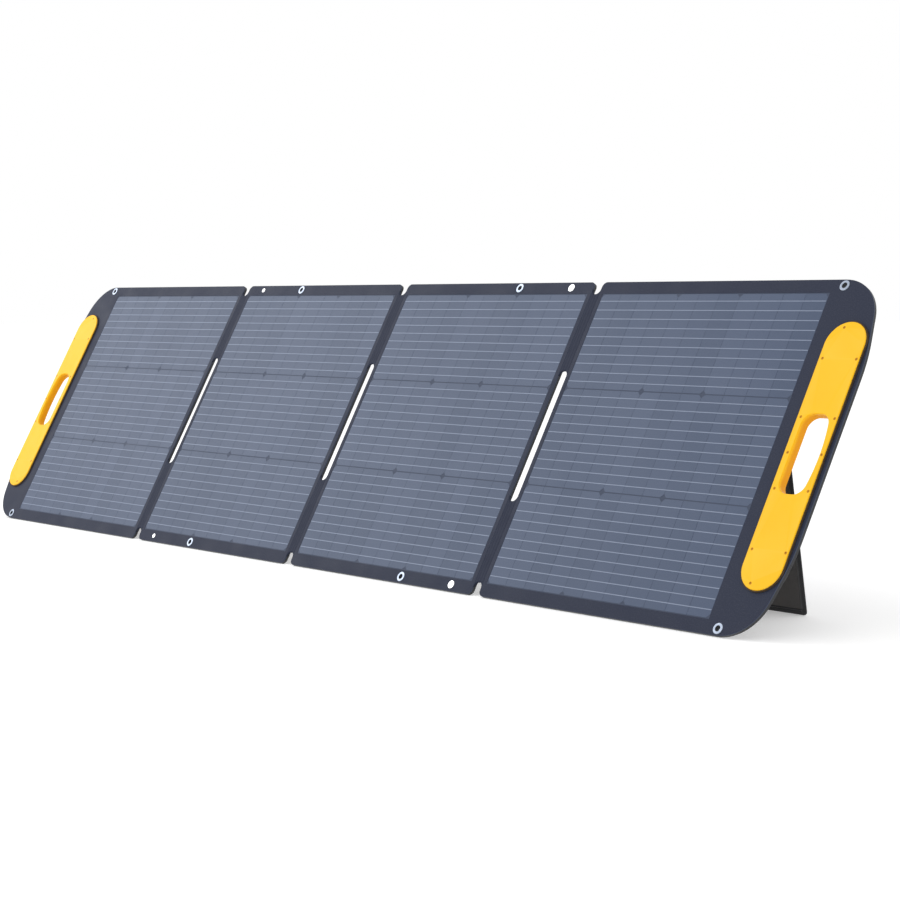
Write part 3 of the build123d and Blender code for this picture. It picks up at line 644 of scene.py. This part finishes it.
# ---- paths, tapes and stitches --------------------------------------------------------------
def rounded(corners, radii, closed=True, steps=10):
    """The outline through these corners with round arcs of these radii, as flat points."""
    points = []
    count = len(corners)
    for number, (corner, radius) in enumerate(zip(corners, radii)):
        corner = Vector(corner)
        if radius <= 0 or (not closed and number in (0, count - 1)):
            points.append(corner)
            continue
        before = (Vector(corners[number - 1]) - corner).normalized()
        after = (Vector(corners[(number + 1) % count]) - corner).normalized()
        half = before.angle(after) / 2
        middle = corner + (before + after).normalized() * (radius / math.sin(half))
        first = corner + before * (radius / math.tan(half)) - middle
        last = corner + after * (radius / math.tan(half)) - middle
        turn = first.angle_signed(last)
        for step in range(steps + 1):
            points.append(middle + turned(first, -turn * step / steps))
    return points + points[:1] if closed else points


def turned(flat, angle):
    """A flat vector turned anticlockwise."""
    cos, sin = math.cos(angle), math.sin(angle)
    return Vector((flat.x * cos - flat.y * sin, flat.x * sin + flat.y * cos))


def evenly(points, step):
    """(point, direction) pairs at even steps along a line of points."""
    lengths = [(after - before).length for before, after in zip(points, points[1:])]
    count = max(int(round(sum(lengths) / step)), 1)
    spaced, run, number = [], 0.0, 0
    for index in range(count):
        target = (index + 0.5) * sum(lengths) / count
        while run + lengths[number] < target:
            run += lengths[number]
            number += 1
        ahead = (points[number + 1] - points[number]).normalized()
        spaced.append((points[number] + ahead * (target - run), ahead))
    return spaced


STITCH_STEP = 4.2 * MM
STITCH_LENGTH = 3.2 * MM
STITCH_RADIUS = 0.32 * MM
STITCH_RINGS = ((-1.0, 0.3), (-0.65, 0.9), (0.0, 1.0), (0.65, 0.9), (1.0, 0.3))
STITCH_SIDES = 6
STITCH_DIP = 0.9
STITCH_LIFT = 0.15 * MM
PATCH_LIFT = -0.2 * MM  # a thread sinks into the pile of a patch


def stitches(name, rows, body):
    """Thread stitches along rows, each a flat path, the place it lies on, and the lift if low."""
    points, faces = [], []
    for flat, spot, *low in rows:
        lift = low[0] if low else STITCH_LIFT
        for here, ahead in evenly(flat, STITCH_STEP):
            middle = spot(here.x, here.y, lift)
            along = (spot(here.x + ahead.x, here.y + ahead.y, lift) - middle).normalized()
            normal = (spot(here.x, here.y, lift + 1) - middle).normalized()
            add_stitch(points, faces, middle, along, normal)
    made = mesh_piece(name, points, faces, THREAD)
    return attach(made, body)


def add_stitch(points, faces, middle, along, normal):
    """One stitch: a short fat thread that dips into the cloth at its ends."""
    across = along.cross(normal)
    first = len(points)
    for share, width in STITCH_RINGS:
        centre = middle + along * (share * STITCH_LENGTH / 2)
        centre -= normal * (STITCH_RADIUS * STITCH_DIP * share**2)
        for side in range(STITCH_SIDES):
            angle = 2 * math.pi * side / STITCH_SIDES
            ray = across * math.cos(angle) + normal * math.sin(angle)
            points.append(centre + ray * (STITCH_RADIUS * width))
    faces += tube_faces(len(STITCH_RINGS), STITCH_SIDES, first)
    last = first + (len(STITCH_RINGS) - 1) * STITCH_SIDES
    faces.append(tuple(range(first + STITCH_SIDES - 1, first - 1, -1)))
    faces.append(tuple(range(last, last + STITCH_SIDES)))


def box_path(centre, width, height, radius):
    """A closed flat path round a box with rounded corners."""
    x, y, half_width, half_height = *centre, width / 2, height / 2
    corners = [
        (x - half_width, y - half_height),
        (x + half_width, y - half_height),
        (x + half_width, y + half_height),
        (x - half_width, y + half_height),
    ]
    return rounded(corners, [radius] * 4, steps=4)


def line_path(start, end):
    """A straight flat path."""
    return [Vector(start), Vector(end)]


# ---- stands ---------------------------------------------------------------------------------
STAND_WIDTH = 225 * MM
STAND_BOARD = 3 * MM
STAND_CORNER = 6 * MM
FLAP_DOWN = Vector((0, -math.cos(STAND_LEAN), -math.sin(STAND_LEAN)))
FLAP_IN = Vector((0, -math.sin(STAND_LEAN), math.cos(STAND_LEAN)))
BINDING = 10 * MM
BINDING_STEP = 3 * MM
BINDING_SECTION = (  # half of it: in from the flap's edge, and down from the flap's face
    (BINDING, 0.25 * MM),
    (BINDING, 0),
    (1.2 * MM, 0),
    (0.35 * MM, 0.35 * MM),
    (0, 1.1 * MM),
)
BINDING_INSET = 0.6 * MM
BOARD_SKIN = 0.35 * MM
FLAP_COLUMNS = 46
FLAP_ROWS = 72
FLAP_START = 0.5 * MM
CROWN_REACH = 30 * MM
CROWN_SINK = 0.05 * MM


def stand_length():
    """How long the CAD flap is, from its hinge down."""
    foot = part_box("stand_flap_right")[0]
    return (HINGE.z - foot.z + STAND_BOARD * FLAP_IN.z) / -FLAP_DOWN.z


STAND_LENGTH = stand_length()


def on_flap(side, across, down, inward):
    """A point on an open stand: across from its middle, down from the hinge, in from its face."""
    start = Vector((side * STAND_ALONG + across, HINGE.y, HINGE.z))
    return start + FLAP_DOWN * down + FLAP_IN * inward


def flap_cover(side, name):
    """The cloth-covered board of a stand, a little crowned."""

    def point(column, row, front):
        down = between(FLAP_START, STAND_LENGTH - BINDING_INSET, row / (FLAP_ROWS - 1))
        half = STAND_WIDTH / 2 - BINDING_INSET
        past = down - (STAND_LENGTH - STAND_CORNER)
        if past > 0:
            half -= STAND_CORNER - math.sqrt(max(STAND_CORNER**2 - past**2, 0))
        share = between(-1, 1, column / (FLAP_COLUMNS - 1))
        edge = min(half * (1 - abs(share)), down, STAND_LENGTH - BINDING_INSET - down)
        crown = (BOARD_SKIN - CROWN_SINK) * min(max(edge, 0) / CROWN_REACH, 1) ** 0.5
        inward = BOARD_SKIN - crown if front else STAND_BOARD - BOARD_SKIN + crown
        return on_flap(side, share * half, down, inward)

    made = slab(
        f"stand_cover_{name}",
        FLAP_COLUMNS,
        FLAP_ROWS,
        lambda column, row: point(column, row, True),
        lambda column, row: point(column, row, False),
        FLAP_CLOTH,
    )
    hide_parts(f"stand_flap_{name}")
    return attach(made, f"stand_{name}")


def edge_path():
    """The flap's free edges, from the hinge down one side, along the foot and up the other."""
    half = STAND_WIDTH / 2
    corners = [(-half, 0), (-half, STAND_LENGTH), (half, STAND_LENGTH), (half, 0)]
    return rounded(corners, [0, STAND_CORNER, STAND_CORNER, 0], closed=False, steps=8)


def flap_binding(side, name):
    """Woven tape folded over the free edges of a flap."""
    edge = evenly(edge_path(), BINDING_STEP)
    half = STAND_BOARD / 2
    section = [(inset, half - depth) for inset, depth in BINDING_SECTION]
    section += [(inset, -height) for inset, height in section[::-1]]
    points = []
    for here, ahead in edge:
        inboard = Vector((ahead.y, -ahead.x))
        for inset, height in section:
            flat, reach = here + inboard * inset, STAND_WIDTH / 2 - inset
            across = min(max(flat.x, -reach), reach)
            down = min(flat.y, STAND_LENGTH - inset)
            points.append(on_flap(side, across, down, half + height))
    ring = len(section)
    last = (len(edge) - 1) * ring
    faces = tube_faces(len(edge), ring)
    faces += [tuple(range(ring - 1, -1, -1)), tuple(range(last, last + ring))]
    made = mesh_piece(f"stand_binding_{name}", points, faces, FLAP_TAPE)
    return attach(made, f"stand_{name}")


TAPE = 1.0 * MM
TAPE_UP = 28 * MM
TAPE_DOWN = 42 * MM
TAPE_WIDTH = 217 * MM
TAPE_BEND = 7 * MM
TAPE_COLUMNS = 40
TAPE_ROWS = 57
TAPE_EDGE = 1.5 * MM
TAPE_EDGE_SHARE = 0.55
HINGE_CLEARANCE = 1 * MM
HINGE_BASE_HEIGHT = 34 * MM


def hinge_tape(side, name):
    """Woven tape over the hinge line, which bends between the leaf and the stand."""

    def point(column, row, lift):
        across = between(-TAPE_WIDTH / 2, TAPE_WIDTH / 2, column / (TAPE_COLUMNS - 1))
        run = between(-TAPE_UP, TAPE_DOWN, row / (TAPE_ROWS - 1))
        edge = min(run + TAPE_UP, TAPE_DOWN - run, TAPE_WIDTH / 2 - abs(across))
        lift = lift * between(TAPE_EDGE_SHARE, 1, min(edge / TAPE_EDGE, 1))
        out = HINGE_OUT - TAPE / 2 - lift
        on_leaf = place(side * STAND_ALONG + across, HINGE_UP - run, out)
        below = on_flap(side, across, run, -TAPE / 2 - lift)
        share = min(max((run + TAPE_BEND / 2) / TAPE_BEND, 0), 1)
        return on_leaf.lerp(below, share * share * (3 - 2 * share))

    made = slab(
        f"hinge_tape_{name}",
        TAPE_COLUMNS,
        TAPE_ROWS,
        lambda column, row: point(column, row, TAPE / 2),
        lambda column, row: point(column, row, -TAPE / 2),
        TAPE_CLOTH,
    )
    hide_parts(f"stand_hinge_tape_{name}")
    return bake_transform(made)


STRAP = 1.2 * MM
STRAP_WIDTH = 25 * MM
STRAP_TAB = 30 * MM
STRAP_LEAF_UP = -150 * MM
STRAP_STAND_DOWN = 230 * MM
STRAP_COLUMNS = 9
STRAP_STEP = 2.5 * MM
STRAP_BENDS = (0, 5 * MM, 3 * MM, 0)
STRAP_EDGE_SHARE = 0.5


def limit_strap(side, name):
    """Webbing that stops the stand, from the back of the leaf to the open stand."""
    middle = STRAP / 2
    back = -THICKNESS - middle
    path = [place(0, STRAP_LEAF_UP - STRAP_TAB, back), place(0, STRAP_LEAF_UP, back)]
    path.append(on_flap(0, 0, STRAP_STAND_DOWN, STAND_BOARD + middle))
    path.append(on_flap(0, 0, STRAP_STAND_DOWN - STRAP_TAB, STAND_BOARD + middle))
    path = [Vector(((point - ORIGIN).dot(UP), (point - ORIGIN).dot(OUT))) for point in path]
    line = evenly(rounded(path, STRAP_BENDS, closed=False, steps=6), STRAP_STEP)

    def point(column, row, lift):
        here, ahead = line[row]
        across = between(-STRAP_WIDTH / 2, STRAP_WIDTH / 2, column / (STRAP_COLUMNS - 1))
        lift = lift * (STRAP_EDGE_SHARE if column in (0, STRAP_COLUMNS - 1) else 1.0)
        flat = here + Vector((-ahead.y, ahead.x)) * lift
        return place(side * STAND_ALONG + across, flat.x, flat.y)

    made = slab(
        f"limit_strap_{name}",
        STRAP_COLUMNS,
        len(line),
        lambda column, row: point(column, row, middle),
        lambda column, row: point(column, row, -middle),
        TAPE_CLOTH,
    )
    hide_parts(f"stand_limit_strap_{name}")
    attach(made, END_PANELS[name])
    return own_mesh(made)


PATCH = (60 * MM, 26 * MM)
PATCH_DOWN = 318 * MM
PATCH_THICKNESS = 0.8 * MM
FLAP_SEAM_INSET = 7.5 * MM
FLAP_SEAM_CORNER = 2 * MM
SEAM_INSET = 4 * MM
PATCH_SEAM = (PATCH[0] - SEAM_INSET, PATCH[1] - SEAM_INSET, 3 * MM)
STRAP_SEAM = (STRAP_WIDTH - 6 * MM, STRAP_TAB - 8 * MM, 0)
TAPE_SEAMS_DOWN = (32 * MM, 38 * MM)
TAPE_SEAMS_UP = (20 * MM, 25 * MM)
BASE_SEAM_INSET = 3 * MM


def stand_stitches(side, name):
    """The seams of one stand: binding, hinge tape, hinge base, strap ends and patches."""

    def outside(height):
        return lambda across, down, lift: on_flap(side, across, down, -height - lift)

    def inside(height):
        return lambda across, down, lift: on_flap(side, across, down, STAND_BOARD + height + lift)

    def leaf(height):
        return lambda across, up, lift: place(side * STAND_ALONG + across, up, -height - lift)

    half, foot = STAND_WIDTH / 2 - FLAP_SEAM_INSET, STAND_LENGTH - FLAP_SEAM_INSET
    top = TAPE_DOWN + SEAM_INSET
    seam = [(-half, top), (-half, foot), (half, foot), (half, top)]
    corners = (0, FLAP_SEAM_CORNER, FLAP_SEAM_CORNER, 0)
    seam = rounded(seam, corners, closed=False, steps=4)
    hook = box_path((0, PATCH_DOWN), *PATCH_SEAM)
    strap_end = box_path((0, STRAP_STAND_DOWN - STRAP_TAB / 2), *STRAP_SEAM)
    tape_half = TAPE_WIDTH / 2 - SEAM_INSET
    rows = [
        (seam, outside(0)),
        (seam, inside(0)),
        (hook, inside(PATCH_THICKNESS), PATCH_LIFT),
        (strap_end, inside(STRAP)),
    ]
    for down in TAPE_SEAMS_DOWN:
        rows.append((line_path((-tape_half, down), (tape_half, down)), outside(TAPE)))
    stitches(f"stand_stitches_{name}", rows, f"stand_{name}")

    rows = []
    for above in TAPE_SEAMS_UP:
        up = HINGE_UP + above
        rows.append((line_path((-tape_half, up), (tape_half, up)), leaf(-HINGE_OUT + TAPE)))
    base_top = HINGE_UP + HINGE_CLEARANCE + HINGE_BASE_HEIGHT - BASE_SEAM_INSET
    base_half = STAND_WIDTH / 2 - SEAM_INSET
    rows.append((line_path((-base_half, base_top), (base_half, base_top)), leaf(-HINGE_OUT)))
    loop = box_path((0, HINGE_UP - PATCH_DOWN), *PATCH_SEAM)
    rows.append((loop, leaf(THICKNESS + PATCH_THICKNESS), PATCH_LIFT))
    tab = box_path((0, STRAP_LEAF_UP - STRAP_TAB / 2), *STRAP_SEAM)
    rows.append((tab, leaf(THICKNESS + STRAP)))
    stitches(f"leaf_stitches_{name}", rows, END_PANELS[name])


# ---- sewn pads ------------------------------------------------------------------------------
PAD_ROUNDS = 4
PAD_STEP = 1.5 * MM
NAP = 0.22 * MM
PAD_EDGE = 1.5 * MM
PAD_EDGE_SHARE = 0.4
HINGE_BASE = (STAND_WIDTH, HINGE_BASE_HEIGHT, -THICKNESS - HINGE_OUT)
HINGE_BASE_CORNER = 2 * MM
PATCH_CORNER = 4 * MM


def stations(half, radius):
    """Places across a pad, closer on its rounded edges, each with how far the top drops there."""
    turns = [math.pi / 2 * number / PAD_ROUNDS for number in range(PAD_ROUNDS)]
    edge = [
        (half - radius * (1 - math.cos(turn)), radius * (1 - math.sin(turn))) for turn in turns
    ]
    inside = half - radius
    count = round(2 * inside / PAD_STEP)
    inner = [(between(-inside, inside, number / count), 0.0) for number in range(count + 1)]
    return [(-spot, drop) for spot, drop in edge] + inner + edge[::-1]


def softened(across, along, width, height, corner):
    """A place on a rectangle, drawn in where it lies in a rounded corner."""
    reach = Vector((width / 2 - corner, height / 2 - corner))
    over = Vector((abs(across), abs(along))) - reach
    if min(over) > 0:
        over *= max(over) / over.length
        across = math.copysign(reach.x + over.x, across)
        along = math.copysign(reach.y + over.y, along)
    return across, along


def tuft(column, row):
    """How high the pile stands here, from 0 to 1, with no pattern to see."""
    return 0.5 + 0.5 * math.sin(12.9 * column + 78.2 * row + 4 * math.sin(3.7 * row))


def pad(node, material, size, corner, spot, body, nap=0.0):
    """A sewn pad in the place of a CAD node: rounded edges, and a napped top where it has pile."""
    width, height, thick = size
    edge = min(PAD_EDGE_SHARE * thick, PAD_EDGE)
    columns, rows = stations(width / 2, edge), stations(height / 2, edge)

    def point(column, row, front):
        (across, drop), (along, dip) = columns[column], rows[row]
        rise = 0.0
        if front:
            rise = thick - max(drop, dip) - (0 if drop or dip else nap * tuft(column, row))
        return spot(*softened(across, along, width, height, corner), rise)

    made = slab(
        node.replace("stand_", "sewn_"),
        len(columns),
        len(rows),
        lambda column, row: point(column, row, True),
        lambda column, row: point(column, row, False),
        material,
    )
    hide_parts(node)
    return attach(made, body)


def stand_pads(side, name):
    """The hinge base, and the hook and loop patches that hold the stand shut."""

    def on_leaf(middle):
        return lambda across, up, rise: place(
            side * STAND_ALONG + across, middle + up, -THICKNESS - rise
        )

    def inside(across, down, rise):
        return on_flap(side, across, PATCH_DOWN + down, STAND_BOARD + rise)

    panel, patch = END_PANELS[name], (*PATCH, PATCH_THICKNESS)
    base = on_leaf(HINGE_UP + HINGE_CLEARANCE + HINGE_BASE_HEIGHT / 2)
    pad(f"stand_hinge_base_{name}", OXFORD, HINGE_BASE, HINGE_BASE_CORNER, base, panel)
    loop = on_leaf(HINGE_UP - PATCH_DOWN)
    pad(f"stand_loop_patch_{name}", LOOPS, patch, PATCH_CORNER, loop, panel, NAP)
    pad(f"stand_hook_patch_{name}", HOOKS, patch, PATCH_CORNER, inside, f"stand_{name}", NAP)


for stand_name, stand_side in SIDES.items():
    flap_cover(stand_side, stand_name)
    flap_binding(stand_side, stand_name)
    hinge_tape(stand_side, stand_name)
    limit_strap(stand_side, stand_name)
    stand_stitches(stand_side, stand_name)
    stand_pads(stand_side, stand_name)


# ---- leaf hems ------------------------------------------------------------------------------
HALF_LENGTH = CAD_BOX[1].x
TAPER_START = 165 * MM
TAPER = math.tan(math.radians(12))
LEAF_CORNER = 10 * MM
SHOULDER_ROUND = 80 * MM
TAPER_ROUND = 300 * MM
HEM = 6.5 * MM
HEM_STEP = 4 * MM
HEM_BEAD = 0.9 * MM
HEM_RISE = 0.3 * MM
HEM_SECTION = ((-1.0, -0.3), (-0.55, 0.7), (0.0, 1.0), (0.55, 0.7), (1.0, -0.3))


def leaf_outline(number, inset):
    """The flat outline of one leaf, this far inside its edge."""
    side = {1: -1, 4: 1}.get(number, 0)
    half = LEAF_HALF - inset
    corner = LEAF_CORNER - inset
    if side == 0:
        centre = (number - 2.5) * PITCH
        return box_path((centre, 0), PITCH - 2 * FOLD_HALF - 2 * inset, 2 * half, corner)
    fold = side * (PITCH + FOLD_HALF + inset)
    end = side * (HALF_LENGTH - inset)
    shoulder = end - side * (half - TAPER_START) * TAPER
    corners = [(fold, half), (shoulder, half), (end, TAPER_START)]
    corners += [(along, -up) for along, up in corners[::-1]]
    radii = [corner, SHOULDER_ROUND - inset, TAPER_ROUND]
    return rounded(corners, radii + radii[::-1])


def hem_bead(number):
    """The pressed bead of the weld that joins cover and sheet round the back of a leaf."""
    line = evenly(leaf_outline(number, HEM), HEM_STEP)
    points = []
    for here, ahead in line:
        across = Vector((-ahead.y, ahead.x))
        for width, rise in HEM_SECTION:
            flat = here + across * (width * HEM_BEAD)
            points.append(place(flat.x, flat.y, -THICKNESS - rise * HEM_RISE))
    faces = tube_faces(len(line), len(HEM_SECTION), closed=True)
    made = mesh_piece(f"hem_bead_{number}", points, faces, OXFORD)
    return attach(made, f"panel_{number}")


for leaf_number in range(1, 5):
    hem_bead(leaf_number)


# ---- camera, light and floor ----------------------------------------------------------------
CAMERA_PLACE = Vector((3.1715, -2.3767, 0.4923))
CAMERA_FORWARD = Vector((-0.7679, 0.6367, -0.0710))
LENS = 82.6
SENSOR = 36
CLIP_END = 200
KEY_PLACE = (-4.0, -1.9, 2.9)
KEY_TARGET = (0, 0, 0.25)
KEY_SIZE = (3.2, 3.0)
KEY_WATTS = 85
FLOOR_HALF = 40.0


def aim(thing, forward):
    """Turn a camera or lamp to look along a direction, with its top upwards."""
    thing.rotation_euler = forward.to_track_quat("-Z", "Y").to_euler()


def make_camera():
    """The photograph's viewing angle."""
    camera = bpy.data.objects.new("camera", bpy.data.cameras.new("camera"))
    bpy.context.scene.collection.objects.link(camera)
    camera.data.lens = LENS
    camera.data.sensor_width = SENSOR
    camera.data.clip_end = CLIP_END
    camera.location = CAMERA_PLACE
    aim(camera, CAMERA_FORWARD)
    bpy.context.scene.camera = camera


def softbox(name, place_at, target, size, watts):
    """A rectangular lamp."""
    lamp = bpy.data.objects.new(name, bpy.data.lights.new(name, "AREA"))
    bpy.context.scene.collection.objects.link(lamp)
    lamp.data.shape = "RECTANGLE"
    lamp.data.size, lamp.data.size_y = size
    lamp.data.energy = watts
    lamp.location = place_at
    aim(lamp, Vector(target) - Vector(place_at))


def make_studio():
    """White surroundings, one softbox and a pale floor."""
    world = bpy.data.worlds.new("studio")
    bpy.context.scene.world = world
    world.use_nodes = True
    world.node_tree.nodes["Background"].inputs[0].default_value = (1, 1, 1, 1)
    world.node_tree.nodes["Background"].inputs[1].default_value = 1.0
    softbox("key", KEY_PLACE, KEY_TARGET, KEY_SIZE, KEY_WATTS)
    corners = [(-1, -1), (1, -1), (1, 1), (-1, 1)]
    corners = [(x * FLOOR_HALF, y * FLOOR_HALF, 0) for x, y in corners]
    floor = mesh_piece("floor", corners, [(0, 1, 2, 3)], floor_paper(), smooth=False)
    bpy.context.scene.view_settings.view_transform = "Standard"


make_camera()
make_studio()
